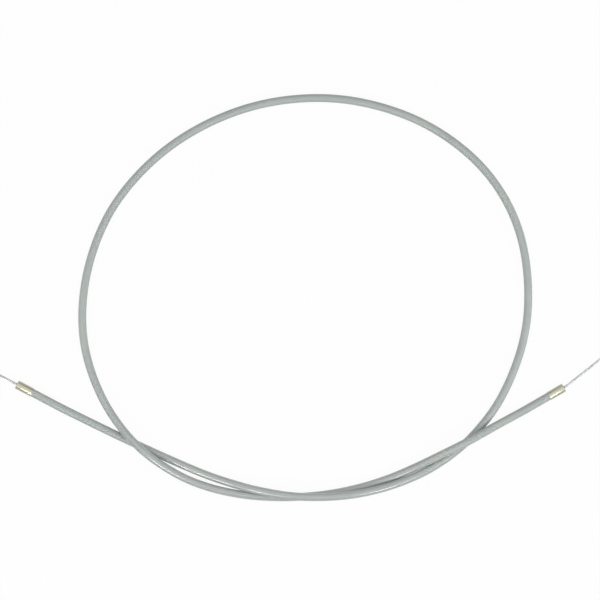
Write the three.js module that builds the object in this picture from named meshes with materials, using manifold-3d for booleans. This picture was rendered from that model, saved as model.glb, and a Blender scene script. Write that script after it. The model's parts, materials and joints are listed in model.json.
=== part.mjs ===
// A bicycle brake cable in millimetres, +Z up: an inner wire that slides through a flexible casing.
// It lies on a flat surface in one loop, and its two tails cross each other below the loop.
// The lever end is on the +X side and the brake end on the -X side.
import * as THREE from "three";
import { mergeVertices } from "three/addons/utils/BufferGeometryUtils.js";
import Module from "manifold-3d";

const wasm = await Module();
wasm.setup();

// Casing: a plastic sheath over a wound steel spiral, with a thin plastic liner inside it
const CASING_DIAMETER = 5;
const SHEATH_WALL = 0.5;
const SPIRAL_WALL = 0.6;
const LINER_WALL = 0.25;
const LAYER_CLEARANCE = 0.05;

// Inner wire
const WIRE_DIAMETER = 1.5;
const WIRE_STROKE = 15;
const BRAKE_WIRE_INSIDE = 8;
const LEVER_WIRE_LEFT_INSIDE = 6;
const WIRE_END_MARGIN = 0.5;
const STRAIGHT_LEAD = 1;
const FUSED_TIP_LENGTH = 3;
const FUSED_TIP_NOSE = 0.45;
const FUSED_TIP_BEVEL = 0.15;

// Ferrules: thin brass cups pressed over both ends of the casing
const FERRULE_WALL = 0.25;
const FERRULE_LENGTH = 10.8;
const FERRULE_END_WALL = 0.5;
const FERRULE_HOLE_DIAMETER = 2.2;
const FERRULE_CLEARANCE = 0.05;
const FERRULE_EDGE_RADIUS = 0.6;
const FERRULE_MOUTH_CHAMFER = 0.12;
const CASING_END_GAP = 0.3;

// Nipple: a barrel cast on the lever end of the wire, which enters it from the side
const NIPPLE_DIAMETER = 7;
const NIPPLE_HEIGHT = 6;
const NIPPLE_CHAMFER = 0.45;
const NIPPLE_BORE_CLEARANCE = 0.1;
const NIPPLE_BORE_PAST_CENTRE = 1.8;
const NIPPLE_ENTRY_DIAMETER = 2.8;
const NIPPLE_ENTRY_DEPTH = 0.7;
const CUTTER_OVERRUN = 1;

// Fineness of the solids
const CASING_STEPS = 80;
const CASING_LEAD = 5.5;
const SHEATH_SIDES = 12;
const INNER_SIDES = 8;
const WIRE_STEP = 4;
const ROUND_SEGMENTS = 32;
const ROUNDING_STEPS = 3;

// Place and heading, in degrees from +X, of each ferrule's outer face and of the nipple
const BRAKE_FERRULE = { x: -161.55, y: -54.25, heading: 152.1 };
const LEVER_FERRULE = { x: 180.35, y: -56.15, heading: 30.05 };
const NIPPLE = { x: 225.15, y: -17.2, heading: 49.9 };

// Route of the casing between its straight ends: x, y and how far it is lifted off the surface,
// in casing diameters. A strand that passes over another one is lifted by a little over one.
const CASING_ROUTE = [
  [-89.9, -90.3, 0], [-44.9, -110.1, 0.1], [-27.4, -116, 0.36], [-10.6, -120.4, 0.8],
  [13.8, -124.1, 1.05], [40.7, -123.8, 1.02], [62.6, -120.1, 0.82], [82, -113.9, 0.45],
  [100.1, -105, 0.11], [120.1, -89.6, 0.01], [142, -60.9, 0.004], [157.1, -14.9, 0],
  [153, 39.3, 0], [131.5, 78.8, 0], [92.2, 109.1, 0], [39.7, 124.1, 0],
  [-14.7, 119.3, 0], [-64.3, 95.6, 0], [-100.2, 58.4, 0], [-117.5, 16.3, 0.005],
  [-119.8, -26.2, 0.04], [-107.6, -63.7, 0.4], [-86.6, -91.9, 1.06], [-62.9, -109.4, 0.72],
  [-43.1, -118, 0.28], [-19.9, -123.2, 0.04], [5.1, -124.8, 0.006], [30.1, -123.2, 0],
  [51.9, -119, 0.04], [70.7, -113.1, 0.15], [86.9, -106.2, 0.33], [102.6, -98.6, 0.72],
  [120.1, -89.8, 1.07], [137.6, -80.1, 0.66],
];

// Free ends of the wire: x, y and the share of the drop from the ferrule to the end's own height
const BRAKE_WIRE_ROUTE = [
  [-191.4, -37, 0.15], [-205.5, -25.1, 0.5], [-217.8, -11.3, 0.85], [-227.4, 3.2, 0.985],
];
const LEVER_WIRE_ROUTE = [
  [187.2, -51.05, 0.1], [194.7, -45.1, 0.3], [203, -38.5, 0.5], [211.1, -31.4, 0.8],
];

// Sizes that follow from the ones above
const casingRadius = CASING_DIAMETER / 2;
const sheathBore = casingRadius - SHEATH_WALL;
const spiralRadius = sheathBore - LAYER_CLEARANCE;
const spiralBore = spiralRadius - SPIRAL_WALL;
const linerRadius = spiralBore - LAYER_CLEARANCE;
const linerBore = linerRadius - LINER_WALL;
const wireRadius = WIRE_DIAMETER / 2;
const ferruleBore = casingRadius + FERRULE_CLEARANCE;
const ferruleRadius = ferruleBore + FERRULE_WALL;
const casingEndDepth = FERRULE_END_WALL + CASING_END_GAP;
const leverWireInside = WIRE_STROKE + LEVER_WIRE_LEFT_INSIDE;

const materials = {
  sheath: finish("sheath_grey", 0x9fa5a3, 0.42, 0),
  steel: finish("spring_steel", 0x8b8e90, 0.45, 0.9),
  liner: finish("liner_plastic", 0xe9e8e0, 0.5, 0),
  wire: finish("galvanised_wire", 0xa9acae, 0.38, 0.9),
  brass: finish("plated_brass", 0xb9b48c, 0.24, 1),
  zinc: finish("cast_zinc", 0xa4a6a6, 0.5, 0.9),
};

function finish(name, color, roughness, metalness) {
  return new THREE.MeshStandardMaterial({ name, color, roughness, metalness });
}

// A place on the surface with the horizontal direction that points out of the cable's end
function endFrame({ x, y, heading }, height) {
  const angle = THREE.MathUtils.degToRad(heading);
  const out = new THREE.Vector3(Math.cos(angle), Math.sin(angle), 0);
  return { out, at: (along) => new THREE.Vector3(x, y, height).addScaledVector(out, along) };
}

const brakeEnd = endFrame(BRAKE_FERRULE, ferruleRadius);
const leverEnd = endFrame(LEVER_FERRULE, ferruleRadius);
const nippleFrame = endFrame(NIPPLE, NIPPLE_HEIGHT / 2);

// Three points on one line keep the stretch up to the middle one straight
function straightEnd(end, straight) {
  const depths = [0, straight, straight + CASING_LEAD];
  return depths.map((depth) => end.at(-casingEndDepth - depth));
}

function casingPath() {
  const height = (lift) => casingRadius + lift * CASING_DIAMETER;
  const middle = CASING_ROUTE.map(([x, y, lift]) => new THREE.Vector3(x, y, height(lift)));
  const brakeStraight = straightEnd(brakeEnd, BRAKE_WIRE_INSIDE + WIRE_STROKE + WIRE_END_MARGIN);
  const leverStraight = straightEnd(leverEnd, leverWireInside + WIRE_END_MARGIN);
  return new THREE.CatmullRomCurve3([...brakeStraight, ...middle, ...leverStraight.reverse()]);
}

// Part of a longer curve, between two shares of its length
class Stretch extends THREE.Curve {
  constructor(curve, from, to) {
    super();
    Object.assign(this, { curve, from, to });
  }
  getPoint(t, target) {
    return this.curve.getPointAt(THREE.MathUtils.lerp(this.from, this.to, t), target);
  }
}

function ring(radius, sides) {
  const corner = (_, i) => {
    const angle = (i * 2 * Math.PI) / sides;
    return new THREE.Vector2(radius * Math.cos(angle), radius * Math.sin(angle));
  };
  return Array.from({ length: sides }, corner);
}

function tube(path, steps, radius, sides, bore = 0) {
  const section = new THREE.Shape(ring(radius, sides));
  if (bore > 0) section.holes.push(new THREE.Path(ring(bore, INNER_SIDES)));
  return new THREE.ExtrudeGeometry(section, { steps, extrudePath: path });
}

// A profile of [radius, height] pairs turned round the Y axis, which is then laid along an axis
function turned(profile, axis, origin) {
  const points = profile.map(([radius, height]) => new THREE.Vector2(radius, height));
  const geometry = new THREE.LatheGeometry(points, ROUND_SEGMENTS);
  const turn = new THREE.Quaternion().setFromUnitVectors(new THREE.Vector3(0, 1, 0), axis);
  return geometry.applyQuaternion(turn).translate(origin.x, origin.y, origin.z);
}

// Quarter circle about a centre, between two angles in degrees
function rounding(centreRadius, centreHeight, radius, from, to) {
  return Array.from({ length: ROUNDING_STEPS + 1 }, (_, i) => {
    const angle = THREE.MathUtils.degToRad(THREE.MathUtils.lerp(from, to, i / ROUNDING_STEPS));
    return [centreRadius + radius * Math.cos(angle), centreHeight + radius * Math.sin(angle)];
  });
}

function solid(geometry) {
  const bare = geometry.index ? geometry.toNonIndexed() : geometry.clone();
  bare.deleteAttribute("normal");
  bare.deleteAttribute("uv");
  const merged = mergeVertices(bare, 1e-4);
  const kept = [];
  const index = merged.index.array;
  for (let i = 0; i < index.length; i += 3) {
    const [a, b, c] = index.slice(i, i + 3);
    if (a !== b && b !== c && c !== a) kept.push(a, b, c);
  }
  return new wasm.Manifold(
    new wasm.Mesh({
      numProp: 3,
      vertProperties: new Float32Array(merged.attributes.position.array),
      triVerts: new Uint32Array(kept),
    }),
  );
}

function geometryOf(manifold) {
  const mesh = manifold.getMesh();
  const geometry = new THREE.BufferGeometry();
  geometry.setAttribute("position", new THREE.BufferAttribute(new Float32Array(mesh.vertProperties), 3));
  geometry.setIndex(new THREE.BufferAttribute(new Uint32Array(mesh.triVerts), 1));
  geometry.computeVertexNormals();
  return geometry;
}

// The cup's profile starts at its mouth, goes up the outside, over the end and down the inside
function ferrule(end) {
  const edge = FERRULE_EDGE_RADIUS;
  const inside = edge - FERRULE_WALL;
  const floor = FERRULE_LENGTH - FERRULE_END_WALL;
  const hole = FERRULE_HOLE_DIAMETER / 2;
  const mouth = [ferruleRadius, 0];
  const profile = [
    mouth,
    ...rounding(ferruleRadius - edge, FERRULE_LENGTH - edge, edge, 0, 90),
    [hole, FERRULE_LENGTH],
    [hole, floor],
    ...rounding(ferruleBore - inside, floor - inside, inside, 90, 0),
    [ferruleBore, FERRULE_MOUTH_CHAMFER],
    [ferruleBore + FERRULE_MOUTH_CHAMFER, 0],
    mouth,
  ];
  return turned(profile, end.out, end.at(-FERRULE_LENGTH));
}

function wireSteps(path) {
  return Math.round(path.getLength() / WIRE_STEP);
}

function brakeWire() {
  const drop = (share) => THREE.MathUtils.lerp(ferruleRadius, wireRadius, share);
  const inner = brakeEnd.at(-casingEndDepth - BRAKE_WIRE_INSIDE);
  const reach = WIRE_STROKE + WIRE_END_MARGIN;
  const straight = [brakeEnd.at(reach), brakeEnd.at(reach + STRAIGHT_LEAD)];
  const free = BRAKE_WIRE_ROUTE.map(([x, y, share]) => new THREE.Vector3(x, y, drop(share)));
  const path = new THREE.CatmullRomCurve3([inner, ...straight, ...free]);
  const strand = tube(path, wireSteps(path), wireRadius, INNER_SIDES);
  return geometryOf(solid(strand).add(solid(fusedTip(path))));
}

// The cut end is fused to a short bullet, so that its strands don't fray
function fusedTip(path) {
  const direction = path.getTangentAt(1);
  const start = path.getPointAt(1).addScaledVector(direction, -FUSED_TIP_LENGTH / 2);
  const shoulder = FUSED_TIP_LENGTH - FUSED_TIP_NOSE;
  const profile = [
    [0, 0], [wireRadius - FUSED_TIP_BEVEL, 0], [wireRadius, FUSED_TIP_BEVEL],
    ...rounding(wireRadius - FUSED_TIP_NOSE, shoulder, FUSED_TIP_NOSE, 0, 90),
    [0, FUSED_TIP_LENGTH],
  ];
  return turned(profile, direction, start);
}

function leverWire() {
  const rise = (share) => THREE.MathUtils.lerp(ferruleRadius, NIPPLE_HEIGHT / 2, share);
  const inner = leverEnd.at(-casingEndDepth - leverWireInside);
  const straight = [leverEnd.at(WIRE_END_MARGIN), leverEnd.at(WIRE_END_MARGIN + STRAIGHT_LEAD)];
  const free = LEVER_WIRE_ROUTE.map(([x, y, share]) => new THREE.Vector3(x, y, rise(share)));
  const entry = NIPPLE_DIAMETER / 2 + STRAIGHT_LEAD;
  const wireEnd = NIPPLE_BORE_PAST_CENTRE - NIPPLE_BORE_CLEARANCE;
  const inNipple = [-entry - STRAIGHT_LEAD, -entry, wireEnd].map(nippleFrame.at);
  const path = new THREE.CatmullRomCurve3([inner, ...straight, ...free, ...inNipple]);
  return tube(path, wireSteps(path), wireRadius, INNER_SIDES);
}

function nipple() {
  const radius = NIPPLE_DIAMETER / 2;
  const flat = radius - NIPPLE_CHAMFER;
  const barrel = turned(
    [
      [0, 0], [flat, 0], [radius, NIPPLE_CHAMFER],
      [radius, NIPPLE_HEIGHT - NIPPLE_CHAMFER], [flat, NIPPLE_HEIGHT], [0, NIPPLE_HEIGHT],
    ],
    new THREE.Vector3(0, 0, 1),
    nippleFrame.at(0).setZ(0),
  );
  const bore = wireRadius + NIPPLE_BORE_CLEARANCE;
  const entry = NIPPLE_ENTRY_DIAMETER / 2;
  const depth = radius + NIPPLE_BORE_PAST_CENTRE;
  const cutter = turned(
    [
      [0, -CUTTER_OVERRUN], [entry, -CUTTER_OVERRUN], [entry, 0],
      [bore, NIPPLE_ENTRY_DEPTH], [bore, depth], [0, depth],
    ],
    nippleFrame.out,
    nippleFrame.at(-radius),
  );
  return geometryOf(solid(barrel).subtract(solid(cutter)));
}

// The wire's middle length shares the casing's steps, so that it bends with the casing's bore
function wireCore(path) {
  const step = path.getLength() / CASING_STEPS;
  const first = Math.ceil((BRAKE_WIRE_INSIDE + WIRE_STROKE + WIRE_END_MARGIN) / step);
  const last = CASING_STEPS - Math.ceil((leverWireInside + WIRE_END_MARGIN) / step);
  const stretch = new Stretch(path, first / CASING_STEPS, last / CASING_STEPS);
  return tube(stretch, last - first, wireRadius, INNER_SIDES);
}

const path = casingPath();
const brakeCable = new THREE.Group();

function add(name, geometry, material) {
  const mesh = new THREE.Mesh(geometry, material);
  mesh.name = name;
  brakeCable.add(mesh);
}

add("casing_sheath", tube(path, CASING_STEPS, casingRadius, SHEATH_SIDES, sheathBore), materials.sheath);
add("casing_spiral", tube(path, CASING_STEPS, spiralRadius, INNER_SIDES, spiralBore), materials.steel);
add("casing_liner", tube(path, CASING_STEPS, linerRadius, INNER_SIDES, linerBore), materials.liner);
add("ferrule_lever_end", ferrule(leverEnd), materials.brass);
add("ferrule_brake_end", ferrule(brakeEnd), materials.brass);
add("wire_core", wireCore(path), materials.wire);
add("wire_lever_end", leverWire(), materials.wire);
add("wire_brake_end", brakeWire(), materials.wire);
add("nipple", nipple(), materials.zinc);

export default brakeCable;
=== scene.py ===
"""A bicycle brake cable lying in a loop: grey casing, brass ferrules and a stranded wire with its nipple."""

import json
import math
from bisect import bisect_right

import bmesh
import bpy
from mathutils import Matrix, Vector
from mathutils.geometry import interpolate_bezier


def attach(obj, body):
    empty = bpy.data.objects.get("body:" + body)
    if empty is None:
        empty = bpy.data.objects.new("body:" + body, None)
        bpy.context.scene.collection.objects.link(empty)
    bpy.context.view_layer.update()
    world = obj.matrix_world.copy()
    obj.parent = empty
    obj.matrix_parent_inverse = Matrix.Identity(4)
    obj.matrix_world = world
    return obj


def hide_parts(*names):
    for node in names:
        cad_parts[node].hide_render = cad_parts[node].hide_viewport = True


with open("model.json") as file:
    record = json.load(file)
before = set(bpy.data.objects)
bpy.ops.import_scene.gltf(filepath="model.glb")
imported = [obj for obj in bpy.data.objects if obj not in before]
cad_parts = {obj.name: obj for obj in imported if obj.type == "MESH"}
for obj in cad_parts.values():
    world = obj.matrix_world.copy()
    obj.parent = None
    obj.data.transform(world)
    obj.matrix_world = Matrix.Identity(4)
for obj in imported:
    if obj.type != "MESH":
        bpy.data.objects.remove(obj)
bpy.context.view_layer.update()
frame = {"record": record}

MM = 0.001

# Casing: a plastic sheath over a wound steel spiral, with a thin plastic liner inside it
SHEATH_RADIUS = 2.5 * MM
SHEATH_BORE = 2.0 * MM
SPIRAL_RADIUS = 1.95 * MM
SPIRAL_BORE = 1.35 * MM
LINER_RADIUS = 1.3 * MM
LINER_BORE = 1.05 * MM
RIB_PITCH = 1.25 * MM
RIB_HEIGHT = 0.003 * MM
SKIN_GRAIN_HEIGHT = 0.002 * MM

# How far inside the casing's ends the wire's hidden core starts
CORE_FROM_END = 30 * MM

# Stretches of the sheath with a glossier coat, a guess at wear where the lower strands lie together,
# and a darker tone there that is painted shade. By distance from the casing's middle, the mask goes
# from 0 at the first value of each pair to 1 at the second.
GLOSS_AND_SHADE_STRETCHES = ((280 * MM, 310 * MM), (530 * MM, 510 * MM))
# Painted shade: the share of the sheath's colour kept in those stretches, which darkens them.
PAINTED_SHADE_TONE = 0.92

# Inner wire: one layer of strands laid round a middle
WIRE_RADIUS = 0.75 * MM
STRAND_RADIUS = 0.15 * MM
STRANDS = 12
STRAND_LAY = 13 * MM
STRAND_STEP = 0.6 * MM
BRAKE_WIRE_INSIDE = 8 * MM
LEVER_WIRE_INSIDE = 21 * MM
WIRE_STROKE = 15 * MM
WIRE_END_MARGIN = 0.5 * MM
STRAIGHT_LEAD = 1 * MM
TIP_LENGTH = 3 * MM
TIP_NOSE = 0.45 * MM
TIP_BACK_EDGE = 0.1 * MM
TIP_BACK_BEVEL = 0.12 * MM

# Ferrules
FERRULE_RADIUS = 2.8 * MM
FERRULE_BORE = 2.55 * MM
FERRULE_LENGTH = 10.8 * MM
FERRULE_END_WALL = 0.5 * MM
FERRULE_HOLE = 1.1 * MM
FERRULE_EDGE = 0.6 * MM
FERRULE_HOLE_EDGE = 0.12 * MM
CASING_END_DEPTH = 0.8 * MM
CASING_LEAD = 5.5 * MM

# Nipple
NIPPLE_RADIUS = 3.5 * MM
NIPPLE_HEIGHT = 6 * MM
NIPPLE_EDGE = 0.45 * MM
NIPPLE_BORE = 0.85 * MM
NIPPLE_BORE_PAST_CENTRE = 1.8 * MM
NIPPLE_ENTRY = 1.4 * MM
NIPPLE_ENTRY_DEPTH = 0.7 * MM
NIPPLE_WIRE_ROOM = 0.1 * MM
DRILL_OVERRUN = 1 * MM
DRILL_FLARE = 0.2 * MM
NIPPLE_HEADING = math.radians(49.9)

# How finely the round pieces are divided
SHEATH_RINGS, SHEATH_SIDES = 800, 32
INNER_RINGS, INNER_SIDES = 320, 16
CORE_SIDES = 12
STRAND_SIDES = 8
WELD = 0.001 * MM
SHARP_ANGLE = math.radians(35)

# Routes from the CAD model, in metres. The third value is the casing's lift in casing diameters,
# or the share of the wire's way from the ferrule's height to the height of its end.
CASING_ROUTE = [
    (-0.0899, -0.0903, 0), (-0.0449, -0.1101, 0.1), (-0.0274, -0.116, 0.36), (-0.0106, -0.1204, 0.8),
    (0.0138, -0.1241, 1.05), (0.0407, -0.1238, 1.02), (0.0626, -0.1201, 0.82), (0.082, -0.1139, 0.45),
    (0.1001, -0.105, 0.11), (0.1201, -0.0896, 0.01), (0.142, -0.0609, 0.004), (0.1571, -0.0149, 0),
    (0.153, 0.0393, 0), (0.1315, 0.0788, 0), (0.0922, 0.1091, 0), (0.0397, 0.1241, 0),
    (-0.0147, 0.1193, 0), (-0.0643, 0.0956, 0), (-0.1002, 0.0584, 0), (-0.1175, 0.0163, 0.005),
    (-0.1198, -0.0262, 0.04), (-0.1076, -0.0637, 0.4), (-0.0866, -0.0919, 1.06), (-0.0629, -0.1094, 0.72),
    (-0.0431, -0.118, 0.28), (-0.0199, -0.1232, 0.04), (0.0051, -0.1248, 0.006), (0.0301, -0.1232, 0),
    (0.0519, -0.119, 0.04), (0.0707, -0.1131, 0.15), (0.0869, -0.1062, 0.33), (0.1026, -0.0986, 0.72),
    (0.1201, -0.0898, 1.07), (0.1376, -0.0801, 0.66),
]
BRAKE_WIRE_ROUTE = [
    (-0.1914, -0.037, 0.15), (-0.2055, -0.0251, 0.5), (-0.2178, -0.0113, 0.85), (-0.2274, 0.0032, 0.985),
]
LEVER_WIRE_ROUTE = [
    (0.1872, -0.05105, 0.1), (0.1947, -0.0451, 0.3), (0.203, -0.0385, 0.5), (0.2111, -0.0314, 0.8),
]

# View: straight down on the cable, from far enough for a flat picture
VIEW_CENTRE = (0.01539, -0.0015)
VIEW_WIDTH = 0.375
VIEW_DISTANCE = 2.5

# Strength of the plain surroundings, as a light and as metal mirrors them
SKY_LIGHT = 0.22
SKY_IN_METAL = 0.44
SKY_COLOUR = (0.97, 0.99, 1, 1)

# Square lamps: name, place from the middle of the view, size and watts
LAMPS = [
    ("panel_above", (0.1, 0.4, 3.2), 4.5, 50),
    ("lamp_back", (-0.1, 0.8, 0.5), 0.4, 0.4),
    ("lamp_left", (-0.9, -0.1, 0.5), 0.5, 2.1),
    ("lamp_right", (1.0, -0.2, 0.45), 0.5, 3.7),
    ("glint_left", (-0.45, -1.02, 0.95), 0.16, 2.3),
    ("glint_right", (0.5, -0.99, 0.95), 0.16, 2.3),
]

# Lamps that show only in glossy and metal surfaces, as the narrow streaks along the strands
MIRRORED_LAMPS = [
    ("gleam_left", (-0.45, -1.02, 1.1), 0.26, 4.2),
    ("gleam_right", (0.5, -0.99, 1.1), 0.26, 3.3),
]

FLOOR_SIZE = 4
FLOOR_DROP = 0.05 * MM
FLOOR_GREY = (0.6, 0.6, 0.6, 1)
FLOOR_WHITE_SHARE = 0.92
FLOOR_WHITE_STRENGTH = 1.03
DRAW_LINE_SCALE = (90, 2600, 2600)


class Route:
    """A smooth line through points, read by the distance along it."""

    STEPS = 40

    def __init__(self, points):
        self.line = self.through(points)
        self.marks = [0.0]
        for here, there in zip(self.line, self.line[1:]):
            self.marks.append(self.marks[-1] + (there - here).length)
        self.length = self.marks[-1]

    def through(self, points):
        """The same centripetal curve that the CAD tubes follow."""
        known = [2 * points[0] - points[1], *points, 2 * points[-1] - points[-2]]
        line = [points[0]]
        for before, start, stop, after in zip(known, known[1:], known[2:], known[3:]):
            a, b, c = (math.sqrt(side.length) for side in (start - before, stop - start, after - stop))
            leave = ((start - before) / a - (stop - before) / (a + b) + (stop - start) / b) * b
            arrive = ((stop - start) / b - (after - start) / (b + c) + (after - stop) / c) * b
            line += interpolate_bezier(start, start + leave / 3, stop - arrive / 3, stop, self.STEPS + 1)[1:]
        return line

    def heading(self, i):
        before = self.line[max(i - 1, 0)]
        after = self.line[min(i + 1, len(self.line) - 1)]
        return (after - before).normalized()

    def at(self, along):
        """A place on the line: X runs along it, and Z stays as upright as it can."""
        i = min(max(bisect_right(self.marks, along) - 1, 0), len(self.line) - 2)
        share = (along - self.marks[i]) / (self.marks[i + 1] - self.marks[i])
        forward = self.heading(i).lerp(self.heading(i + 1), share)
        return place(self.line[i].lerp(self.line[i + 1], share), forward)


def place(point, forward):
    """A matrix at the point, with X along forward and Z as upright as it can be."""
    forward = forward.normalized()
    side = Vector((0, 0, 1)).cross(forward).normalized()
    up = forward.cross(side)
    return Matrix.Translation(point) @ Matrix((forward, side, up)).transposed().to_4x4()


# Ends of the cable, from the mounts of the CAD model


def mount(name):
    return next(m for m in frame["record"]["mounts"] if m["name"] == name)


def cable_end(name):
    """The centre of a ferrule's outer face, with X pointing out of the cable."""
    found = mount(name)
    x, y, _ = found["pos_m"]
    return place(Vector((x, y, FERRULE_RADIUS)), Vector(found["axis"]))


def nipple_place():
    x, y, _ = mount("nipple_face")["pos_m"]
    out = Vector((math.cos(NIPPLE_HEADING), math.sin(NIPPLE_HEADING), 0))
    return place(Vector((x, y, NIPPLE_HEIGHT / 2)), out)


def ahead(end, distance):
    """A point on the line through a cable end, outward for a positive distance."""
    return end @ Vector((distance, 0, 0))


lever_end = cable_end("lever_ferrule_face")
brake_end = cable_end("brake_ferrule_face")
nipple_centre = nipple_place()


def casing_route():
    """Straight in both ferrules, and laid in the loop between them."""

    def straight(end, length):
        return [ahead(end, -CASING_END_DEPTH - depth) for depth in (0, length, length + CASING_LEAD)]

    brake_side = straight(brake_end, BRAKE_WIRE_INSIDE + WIRE_STROKE + WIRE_END_MARGIN)
    lever_side = straight(lever_end, LEVER_WIRE_INSIDE + WIRE_END_MARGIN)
    middle = [Vector((x, y, SHEATH_RADIUS * (1 + 2 * lift))) for x, y, lift in CASING_ROUTE]
    return Route([*brake_side, *middle, *reversed(lever_side)])


def free_run(route, low):
    """Points of a free wire end, between the ferrule's height and the height of its own end."""
    return [Vector((x, y, FERRULE_RADIUS + (low - FERRULE_RADIUS) * share)) for x, y, share in route]


def brake_wire_route():
    reach = WIRE_STROKE + WIRE_END_MARGIN
    straight = [-CASING_END_DEPTH - BRAKE_WIRE_INSIDE, reach, reach + STRAIGHT_LEAD]
    return Route([*(ahead(brake_end, x) for x in straight), *free_run(BRAKE_WIRE_ROUTE, WIRE_RADIUS)])


def lever_wire_route():
    straight = [-CASING_END_DEPTH - LEVER_WIRE_INSIDE, WIRE_END_MARGIN, WIRE_END_MARGIN + STRAIGHT_LEAD]
    entry = NIPPLE_RADIUS + STRAIGHT_LEAD
    in_nipple = [-entry - STRAIGHT_LEAD, -entry, NIPPLE_BORE_PAST_CENTRE - NIPPLE_WIRE_ROOM]
    return Route([
        *(ahead(lever_end, x) for x in straight),
        *free_run(LEVER_WIRE_ROUTE, NIPPLE_HEIGHT / 2),
        *(ahead(nipple_centre, x) for x in in_nipple),
    ])


# Node helpers


def node(tree, kind, inputs=None, **settings):
    """Adds a node, and sets or links its inputs."""
    made = tree.nodes.new(kind)
    for name, value in settings.items():
        setattr(made, name, value)
    for socket, value in (inputs or {}).items():
        if isinstance(value, bpy.types.NodeSocket):
            tree.links.new(value, made.inputs[socket])
        else:
            made.inputs[socket].default_value = value
    return made


def new_group(name, inputs, outputs):
    group = bpy.data.node_groups.new(name, "ShaderNodeTree")
    for socket, kind in inputs.items():
        group.interface.new_socket(socket, in_out="INPUT", socket_type=kind)
    for socket, kind in outputs.items():
        group.interface.new_socket(socket, in_out="OUTPUT", socket_type=kind)
    return group, group.nodes.new("NodeGroupInput").outputs


def mottle_group():
    """Slow changes of tone and gloss over a surface."""
    group, given = new_group(
        "mottle",
        {"Vector": "NodeSocketVector", "Scale": "NodeSocketFloat", "Tone": "NodeSocketColor",
         "Other Tone": "NodeSocketColor", "Low Gloss": "NodeSocketFloat", "High Gloss": "NodeSocketFloat"},
        {"Color": "NodeSocketColor", "Roughness": "NodeSocketFloat"},
    )
    noise = node(group, "ShaderNodeTexNoise", {
        "Vector": given["Vector"], "Scale": given["Scale"], "Detail": 5, "Roughness": 0.55})
    mask = node(group, "ShaderNodeMapRange", {
        "Value": noise.outputs["Fac"], "From Min": 0.35, "From Max": 0.65})
    tone = node(group, "ShaderNodeMix", {
        "Factor": mask.outputs["Result"], "A": given["Tone"], "B": given["Other Tone"]}, data_type="RGBA")
    gloss = node(group, "ShaderNodeMapRange", {
        "Value": noise.outputs["Fac"], "From Min": 0.3, "From Max": 0.7,
        "To Min": given["High Gloss"], "To Max": given["Low Gloss"]})
    node(group, "NodeGroupOutput", {"Color": tone.outputs["Result"], "Roughness": gloss.outputs["Result"]})
    return group


def draw_line_group():
    """Fine lines along X, as left on metal by a drawing die."""
    group, given = new_group(
        "draw_lines",
        {"Vector": "NodeSocketVector", "Height": "NodeSocketFloat"},
        {"Normal": "NodeSocketVector"},
    )
    stretched = node(group, "ShaderNodeMapping", {"Vector": given["Vector"], "Scale": DRAW_LINE_SCALE})
    noise = node(group, "ShaderNodeTexNoise", {
        "Vector": stretched.outputs["Vector"], "Scale": 1, "Detail": 3})
    bump = node(group, "ShaderNodeBump", {
        "Height": noise.outputs["Fac"], "Distance": given["Height"], "Strength": 0.6})
    node(group, "NodeGroupOutput", {"Normal": bump.outputs["Normal"]})
    return group


mottle = mottle_group()
draw_lines = draw_line_group()


def rgb(red, green, blue):
    """A colour as it looks on screen, from 0 to 255, for a shader socket."""
    levels = [c / 255 for c in (red, green, blue)]
    linear = [c / 12.92 if c <= 0.04045 else ((c + 0.055) / 1.055) ** 2.4 for c in levels]
    return (*linear, 1)


def new_finish(name, **values):
    material = bpy.data.materials.new(name)
    material.use_nodes = True
    shader = material.node_tree.nodes["Principled BSDF"]
    for socket, value in values.items():
        shader.inputs[socket.replace("_", " ")].default_value = value
    return material, material.node_tree, shader


def mottled(tree, shader, vector, scale, tone, other, gloss):
    """Drives a shader's colour and roughness with the mottle group, and gives the colour's socket."""
    low, high = gloss
    marks = node(tree, "ShaderNodeGroup", node_tree=mottle)
    for socket, value in (("Scale", scale), ("Tone", tone), ("Other Tone", other),
                          ("Low Gloss", low), ("High Gloss", high)):
        marks.inputs[socket].default_value = value
    tree.links.new(vector, marks.inputs["Vector"])
    tree.links.new(marks.outputs["Color"], shader.inputs["Base Color"])
    tree.links.new(marks.outputs["Roughness"], shader.inputs["Roughness"])
    return marks.outputs["Color"]


def drawn(tree, shader, vector, height):
    """Drives a shader's normal with the drawing lines."""
    lines = node(tree, "ShaderNodeGroup", node_tree=draw_lines)
    tree.links.new(vector, lines.inputs["Vector"])
    lines.inputs["Height"].default_value = height
    tree.links.new(lines.outputs["Normal"], shader.inputs["Normal"])


def object_place(tree):
    return node(tree, "ShaderNodeTexCoord").outputs["Object"]


def unrolled(tree):
    """Metres along and around a tube."""
    return node(tree, "ShaderNodeUVMap", uv_map="unrolled").outputs["UV"]


# Camera, floor and light


def set_camera():
    camera = bpy.data.objects.new("camera", bpy.data.cameras.new("camera"))
    bpy.context.scene.collection.objects.link(camera)
    camera.location = (*VIEW_CENTRE, SHEATH_RADIUS + VIEW_DISTANCE)
    camera.data.lens = camera.data.sensor_width * VIEW_DISTANCE / VIEW_WIDTH
    bpy.context.scene.camera = camera
    bpy.context.scene.view_settings.view_transform = "Standard"


def add_lamp(name, offset, size, watts, mirrored_only=False):
    """A square lamp that looks at the middle of the view, and may show in mirrored light alone."""
    light = bpy.data.lights.new(name, "AREA")
    light.size = size
    light.energy = watts
    lamp = bpy.data.objects.new(name, light)
    centre = Vector((*VIEW_CENTRE, 0))
    lamp.location = centre + Vector(offset)
    lamp.rotation_euler = (-Vector(offset)).to_track_quat("-Z", "Y").to_euler()
    lamp.visible_diffuse = not mirrored_only
    bpy.context.scene.collection.objects.link(lamp)


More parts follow.
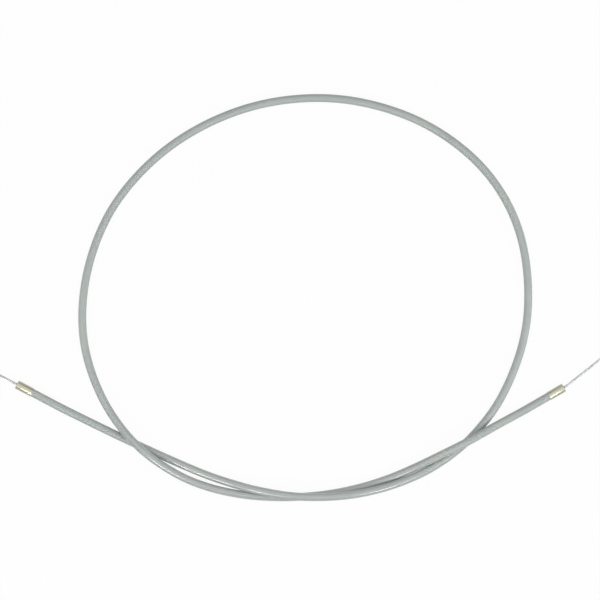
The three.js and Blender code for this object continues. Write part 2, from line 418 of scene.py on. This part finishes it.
def light_scene():
    """Lamps, and surroundings that are white to the camera and greyer as a light and in metal."""
    world = bpy.data.worlds.new("studio")
    world.use_nodes = True
    tree = world.node_tree
    rays = node(tree, "ShaderNodeLightPath").outputs
    mirrored = node(tree, "ShaderNodeMapRange", {
        "Value": rays["Is Glossy Ray"], "To Min": SKY_LIGHT, "To Max": SKY_IN_METAL})
    white = node(tree, "ShaderNodeMath", {
        0: rays["Is Camera Ray"], 1: rays["Is Transmission Ray"]}, operation="MAXIMUM")
    strength = node(tree, "ShaderNodeMath", {
        0: white.outputs["Value"], 1: mirrored.outputs["Result"]}, operation="MAXIMUM")
    background = tree.nodes["Background"]
    background.inputs["Color"].default_value = SKY_COLOUR
    tree.links.new(strength.outputs["Value"], background.inputs["Strength"])
    bpy.context.scene.world = world
    for lamp in LAMPS:
        add_lamp(*lamp)
    for lamp in MIRRORED_LAMPS:
        add_lamp(*lamp, mirrored_only=True)


# Finishes


def gloss_and_shade_mask(tree, along, length):
    """A mask, with soft ends, of the stretches taken as rubbed glossier and darkened by painted shade."""
    from_middle = node(tree, "ShaderNodeMath", {0: along, 1: length / 2}, operation="SUBTRACT")
    from_middle = node(tree, "ShaderNodeMath", {0: from_middle.outputs["Value"]}, operation="ABSOLUTE")
    begins, ends = (
        node(tree, "ShaderNodeMapRange", {
            "Value": from_middle.outputs["Value"], "From Min": low, "From Max": high},
            interpolation_type="SMOOTHSTEP")
        for low, high in GLOSS_AND_SHADE_STRETCHES)
    mask = node(tree, "ShaderNodeMath", {
        0: begins.outputs["Result"], 1: ends.outputs["Result"]}, operation="MULTIPLY")
    return mask.outputs["Value"]


def sheath_plastic(length):
    """Extruded grey plastic, over turns that show faintly through it, glossier where taken as rubbed, and
    darkened there by painted shade.
    """
    material, tree, shader = new_finish("sheath_plastic", IOR=1.5, Coat_Roughness=0.22, Coat_IOR=1.6)
    colour = mottled(
        tree, shader, object_place(tree), 38, rgb(176, 183, 181), rgb(183, 189, 184), (0.44, 0.36))
    along = node(tree, "ShaderNodeSeparateXYZ", {"Vector": unrolled(tree)})
    gloss_and_shade = gloss_and_shade_mask(tree, along.outputs["X"], length)
    tree.links.new(gloss_and_shade, shader.inputs["Coat Weight"])
    # Painted shade: the sheath's colour is darkened in the masked stretches.
    tone = node(tree, "ShaderNodeMix", {
        "Factor": gloss_and_shade, "A": colour, "B": (PAINTED_SHADE_TONE, PAINTED_SHADE_TONE, PAINTED_SHADE_TONE, 1)},
        data_type="RGBA", blend_type="MULTIPLY")
    tree.links.new(tone.outputs["Result"], shader.inputs["Base Color"])
    turns = node(tree, "ShaderNodeMath", {
        0: along.outputs["X"], 1: math.tau / RIB_PITCH}, operation="MULTIPLY")
    lean = node(tree, "ShaderNodeMath", {
        0: along.outputs["Y"], 1: 1 / SHEATH_RADIUS, 2: turns.outputs["Value"]}, operation="MULTIPLY_ADD")
    ribs = node(tree, "ShaderNodeMath", {0: lean.outputs["Value"]}, operation="SINE")
    ribbed = node(tree, "ShaderNodeBump", {"Height": ribs.outputs["Value"], "Distance": RIB_HEIGHT})
    grain = node(tree, "ShaderNodeTexNoise", {"Vector": object_place(tree), "Scale": 900, "Detail": 2})
    skin = node(tree, "ShaderNodeBump", {
        "Height": grain.outputs["Fac"], "Distance": SKIN_GRAIN_HEIGHT, "Normal": ribbed.outputs["Normal"]})
    tree.links.new(skin.outputs["Normal"], shader.inputs["Normal"])
    return material


def plated_brass(name, end):
    """Pale bright brass with fine lines along the ferrule."""
    material, tree, shader = new_finish(name, Metallic=1.0)
    turned = node(tree, "ShaderNodeMapping", {
        "Vector": object_place(tree), "Rotation": end.inverted().to_euler()})
    mottled(
        tree, shader, turned.outputs["Vector"], 150, rgb(192, 190, 171), rgb(185, 182, 163), (0.38, 0.32))
    drawn(tree, shader, turned.outputs["Vector"], 0.0004 * MM)
    return material


def wire_steel():
    """Galvanised strands."""
    material, tree, shader = new_finish("galvanised_wire", Metallic=1.0)
    vector = unrolled(tree)
    mottled(tree, shader, vector, 420, rgb(208, 210, 210), rgb(194, 196, 197), (0.6, 0.5))
    drawn(tree, shader, vector, 0.001 * MM)
    return material


def fused_steel():
    """Wire end darkened by the heat that fused it."""
    material, tree, shader = new_finish("fused_steel", Metallic=1.0)
    mottled(tree, shader, object_place(tree), 1400, rgb(150, 146, 142), rgb(118, 112, 112), (0.5, 0.36))
    return material


def cast_zinc():
    """Dull grey casting skin."""
    material, tree, shader = new_finish("cast_zinc", Metallic=1.0)
    where = object_place(tree)
    mottled(tree, shader, where, 600, rgb(182, 184, 186), rgb(160, 162, 165), (0.52, 0.4))
    grain = node(tree, "ShaderNodeTexNoise", {"Vector": where, "Scale": 2400, "Detail": 4})
    skin = node(tree, "ShaderNodeBump", {"Height": grain.outputs["Fac"], "Distance": 0.03 * MM})
    tree.links.new(skin.outputs["Normal"], shader.inputs["Normal"])
    return material


def spiral_steel():
    """Flat steel wire wound edge to edge."""
    material, tree, shader = new_finish("spiral_steel", Metallic=1.0)
    vector = unrolled(tree)
    mottled(tree, shader, vector, 300, rgb(160, 162, 164), rgb(138, 140, 142), (0.5, 0.36))
    drawn(tree, shader, vector, 0.01 * MM)
    return material


def liner_plastic():
    """Off-white slippery plastic."""
    material, tree, shader = new_finish("liner_plastic", IOR=1.38)
    mottled(tree, shader, unrolled(tree), 200, rgb(236, 235, 227), rgb(226, 225, 216), (0.5, 0.4))
    return material


def floor_white():
    """White floor that keeps a soft shadow and looks as white to the camera and in the metal."""
    material, tree, shader = new_finish("floor_white", Roughness=0.9)
    shader.inputs["Base Color"].default_value = FLOOR_GREY
    shader.inputs["Specular IOR Level"].default_value = 0.0
    rays = node(tree, "ShaderNodeLightPath").outputs
    seen = node(tree, "ShaderNodeMath", {
        0: rays["Is Camera Ray"], 1: rays["Is Glossy Ray"]}, operation="MAXIMUM")
    seen = node(tree, "ShaderNodeMath", {
        0: seen.outputs["Value"], 1: rays["Is Transmission Ray"]}, operation="MAXIMUM")
    share = node(tree, "ShaderNodeMath", {
        0: seen.outputs["Value"], 1: FLOOR_WHITE_SHARE}, operation="MULTIPLY")
    white = node(tree, "ShaderNodeEmission", {"Strength": FLOOR_WHITE_STRENGTH})
    mixed = node(tree, "ShaderNodeMixShader", {
        0: share.outputs["Value"], 1: shader.outputs["BSDF"], 2: white.outputs["Emission"]})
    output = tree.nodes["Material Output"]
    tree.links.new(mixed.outputs["Shader"], output.inputs["Surface"])
    return material


# Shapes


def lay_tube(bm, route, radius, rings, sides, start=0.0, stop=None, offset=None):
    """Rolls a flat grid into a tube along the route. offset(along) shifts its middle off the route."""
    stop = route.length if stop is None else stop
    uv = bm.loops.layers.uv.get("unrolled") or bm.loops.layers.uv.new("unrolled")
    sheet = bmesh.ops.create_grid(bm, x_segments=rings, y_segments=sides, size=0.5)["verts"]
    stations = [start + (stop - start) * i / rings for i in range(rings + 1)]
    middles = [route.at(along) for along in stations]
    if offset:
        middles = [middle @ Matrix.Translation(offset(along)) for middle, along in zip(middles, stations)]
    for face in {face for vert in sheet for face in vert.link_faces}:
        for loop in face.loops:
            x, y, _ = loop.vert.co
            loop[uv].uv = (start + (x + 0.5) * (stop - start), (y + 0.5) * math.tau * radius)
    for vert in sheet:
        station = round((vert.co.x + 0.5) * rings)
        turn = (vert.co.y + 0.5) * math.tau
        vert.co = middles[station] @ Vector((0, radius * math.cos(turn), radius * math.sin(turn)))
    return sheet


def close_seams(bm):
    bmesh.ops.remove_doubles(bm, verts=bm.verts, dist=WELD)


def pipe(route, radius, bore, rings, sides):
    """A tube with a wall: an outer and an inner skin, joined round both ends."""
    bm = bmesh.new()
    lay_tube(bm, route, radius, rings, sides)
    lay_tube(bm, route, bore, rings, sides)
    close_seams(bm)
    edges = [edge for edge in bm.edges if edge.is_boundary]
    first = route.at(0).translation
    last = route.at(route.length).translation
    for end, other in ((first, last), (last, first)):
        near = [e for e in edges if (e.verts[0].co - end).length < (e.verts[0].co - other).length]
        bmesh.ops.bridge_loops(bm, edges=near)
    return bm


def rod(route, radius, rings, sides, start, stop):
    """A solid round bar along part of the route."""
    bm = bmesh.new()
    lay_tube(bm, route, radius, rings, sides, start, stop)
    close_seams(bm)
    bmesh.ops.holes_fill(bm, edges=[edge for edge in bm.edges if edge.is_boundary])
    return bm


def rounded(centre_x, centre_y, radius, start, stop, steps=6):
    """Points of an arc, from one angle to another in degrees."""
    angles = (math.radians(start + (stop - start) * i / steps) for i in range(steps + 1))
    return [(centre_x + radius * math.cos(a), centre_y + radius * math.sin(a)) for a in angles]


def turned_piece(profile, where, steps=64):
    """Spins a profile of places along X and radii round X, and puts it where it belongs."""
    bm = bmesh.new()
    verts = [bm.verts.new((x, radius, 0)) for x, radius in profile]
    edges = [bm.edges.new(pair) for pair in zip(verts, verts[1:])]
    bmesh.ops.spin(
        bm, geom=verts + edges, cent=(0, 0, 0), axis=(1, 0, 0), angle=math.tau, steps=steps, use_merge=True)
    close_seams(bm)
    bmesh.ops.transform(bm, matrix=where, verts=bm.verts)
    return bm


def finish_piece(name, bm, finish, body, slot, *nodes):
    """Makes an object of the mesh, which rides on a body and stands for CAD nodes."""
    close_seams(bm)
    bmesh.ops.recalc_face_normals(bm, faces=bm.faces)
    mesh = bpy.data.meshes.new(name)
    bm.to_mesh(mesh)
    bm.free()
    mesh.polygons.foreach_set("use_smooth", [True] * len(mesh.polygons))
    mesh.set_sharp_from_angle(angle=SHARP_ANGLE)
    mesh.materials.append(finish)
    made = bpy.data.objects.new(name, mesh)
    bpy.context.scene.collection.objects.link(made)
    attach(made, body)
    if nodes:
        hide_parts(*nodes)
    return made


# Pieces of the cable


def ferrule(name, end, finish):
    """A thin cup with a rounded end, a rolled mouth and a hole for the wire."""
    wall = FERRULE_RADIUS - FERRULE_BORE
    lip = wall / 2
    inner = FERRULE_EDGE - wall
    end_floor = -FERRULE_END_WALL
    profile = [
        *rounded(-FERRULE_LENGTH + lip, FERRULE_BORE + lip, lip, 270, 90),
        *rounded(-FERRULE_EDGE, FERRULE_RADIUS - FERRULE_EDGE, FERRULE_EDGE, 90, 0),
        *rounded(-FERRULE_HOLE_EDGE, FERRULE_HOLE + FERRULE_HOLE_EDGE, FERRULE_HOLE_EDGE, 0, -90, 3),
        (end_floor, FERRULE_HOLE),
        *rounded(end_floor - inner, FERRULE_BORE - inner, inner, 0, 90),
    ]
    profile.append(profile[0])
    return finish_piece(
        name + "_dressed", turned_piece(profile, end), finish, "casing", "ferrule", name)


def strand_offset(number):
    """The middle of a strand, wound round the middle of the wire."""
    radius = WIRE_RADIUS - STRAND_RADIUS

    def offset(along):
        turn = math.tau * (along / STRAND_LAY + number / STRANDS)
        return Vector((0, radius * math.cos(turn), radius * math.sin(turn)))

    return offset


def stranded(route):
    """The wire's outer strands, round a plain middle that shows only between them."""
    bm = bmesh.new()
    rings = round(route.length / STRAND_STEP)
    for number in range(STRANDS):
        lay_tube(bm, route, STRAND_RADIUS, rings, STRAND_SIDES, offset=strand_offset(number))
    lay_tube(bm, route, WIRE_RADIUS - 2 * STRAND_RADIUS, rings // 3, CORE_SIDES)
    close_seams(bm)
    bmesh.ops.holes_fill(bm, edges=[edge for edge in bm.edges if edge.is_boundary])
    return bm


def fused_tip(end):
    """The bullet that holds the cut strands together."""
    overlap = -TIP_LENGTH / 2
    profile = [
        (overlap, 0), (overlap, WIRE_RADIUS - TIP_BACK_BEVEL),
        *rounded(overlap + TIP_BACK_EDGE, WIRE_RADIUS - TIP_BACK_EDGE, TIP_BACK_EDGE, 180, 90, 3),
        *rounded(TIP_LENGTH / 2 - TIP_NOSE, WIRE_RADIUS - TIP_NOSE, TIP_NOSE, 90, 0),
        (TIP_LENGTH / 2, 0),
    ]
    return turned_piece(profile, end, 24)


def nipple(finish):
    """A cast barrel standing on its flat end, with a flared hole for the wire in its side."""
    half = NIPPLE_HEIGHT / 2
    edge = NIPPLE_EDGE
    profile = [
        (-half, 0),
        *rounded(-half + edge, NIPPLE_RADIUS - edge, edge, 180, 90),
        *rounded(half - edge, NIPPLE_RADIUS - edge, edge, 90, 0),
        (half, 0),
    ]
    upright = nipple_centre @ Matrix.Rotation(-math.pi / 2, 4, "Y")
    made = finish_piece(
        "nipple_cast", turned_piece(profile, upright, 96), finish, "lever_wire", "nipple", "nipple")
    drill(made)
    return made


def drill(barrel):
    """Cuts the wire's hole, with its flared mouth, into the barrel's side."""
    depth = NIPPLE_RADIUS + NIPPLE_BORE_PAST_CENTRE
    profile = [
        (-DRILL_OVERRUN, 0), (-DRILL_OVERRUN, NIPPLE_ENTRY + DRILL_FLARE), (0, NIPPLE_ENTRY),
        (NIPPLE_ENTRY_DEPTH, NIPPLE_BORE), (depth, NIPPLE_BORE), (depth, 0),
    ]
    bm = turned_piece(profile, nipple_centre @ Matrix.Translation((-NIPPLE_RADIUS, 0, 0)), 48)
    bmesh.ops.recalc_face_normals(bm, faces=bm.faces)
    mesh = bpy.data.meshes.new("drill")
    bm.to_mesh(mesh)
    bm.free()
    bit = bpy.data.objects.new("drill", mesh)
    bpy.context.scene.collection.objects.link(bit)
    cut = barrel.modifiers.new("wire_hole", "BOOLEAN")
    cut.operation = "DIFFERENCE"
    cut.solver = "EXACT"
    cut.object = bit
    bpy.context.view_layer.update()
    bored = barrel.evaluated_get(bpy.context.evaluated_depsgraph_get())
    drilled = bpy.data.meshes.new_from_object(bored)
    barrel.modifiers.clear()
    barrel.data = drilled
    drilled.set_sharp_from_angle(angle=SHARP_ANGLE)
    bpy.data.objects.remove(bit)


def points_of(route, step=2 * MM):
    """Points close together on a route."""
    count = round(route.length / step)
    return [route.at(route.length * i / count).translation for i in range(count + 1)]


def floor():
    bm = bmesh.new()
    bmesh.ops.create_grid(bm, x_segments=1, y_segments=1, size=FLOOR_SIZE)
    bmesh.ops.translate(bm, vec=(0, 0, -FLOOR_DROP), verts=bm.verts)
    mesh = bpy.data.meshes.new("floor")
    bm.to_mesh(mesh)
    bm.free()
    mesh.materials.append(floor_white())
    made = bpy.data.objects.new("floor", mesh)
    bpy.context.scene.collection.objects.link(made)


# Making


set_camera()

casing_line = casing_route()
brake_line = brake_wire_route()
lever_line = lever_wire_route()

plastic = sheath_plastic(casing_line.length)
steel = wire_steel()

sheath = finish_piece(
    "sheath", pipe(casing_line, SHEATH_RADIUS, SHEATH_BORE, SHEATH_RINGS, SHEATH_SIDES), plastic,
    "casing", "sheath", "casing_sheath")
spiral = finish_piece(
    "spiral", pipe(casing_line, SPIRAL_RADIUS, SPIRAL_BORE, INNER_RINGS, INNER_SIDES), spiral_steel(),
    "casing", "spiral", "casing_spiral")
liner = finish_piece(
    "liner", pipe(casing_line, LINER_RADIUS, LINER_BORE, INNER_RINGS, INNER_SIDES), liner_plastic(),
    "casing", "liner", "casing_liner")
core_span = (CORE_FROM_END, casing_line.length - CORE_FROM_END)
core = finish_piece(
    "core", rod(casing_line, WIRE_RADIUS, INNER_RINGS, CORE_SIDES, *core_span), steel,
    "casing", "wire", "wire_core")
lever_ferrule = ferrule("ferrule_lever_end", lever_end, plated_brass("plated_brass_lever_end", lever_end))
brake_ferrule = ferrule("ferrule_brake_end", brake_end, plated_brass("plated_brass_brake_end", brake_end))

lever_wire = finish_piece(
    "strands_lever_end", stranded(lever_line), steel, "lever_wire", "wire", "wire_lever_end")
brake_wire = finish_piece(
    "strands_brake_end", stranded(brake_line), steel, "brake_wire", "wire", "wire_brake_end")
tip = finish_piece(
    "fused_tip", fused_tip(brake_line.at(brake_line.length)), fused_steel(), "brake_wire", "wire")
barrel = nipple(cast_zinc())

casing_line.at(0).translation
points_of(casing_line)
points_of(lever_line)
points_of(brake_line)

floor()
light_scene()
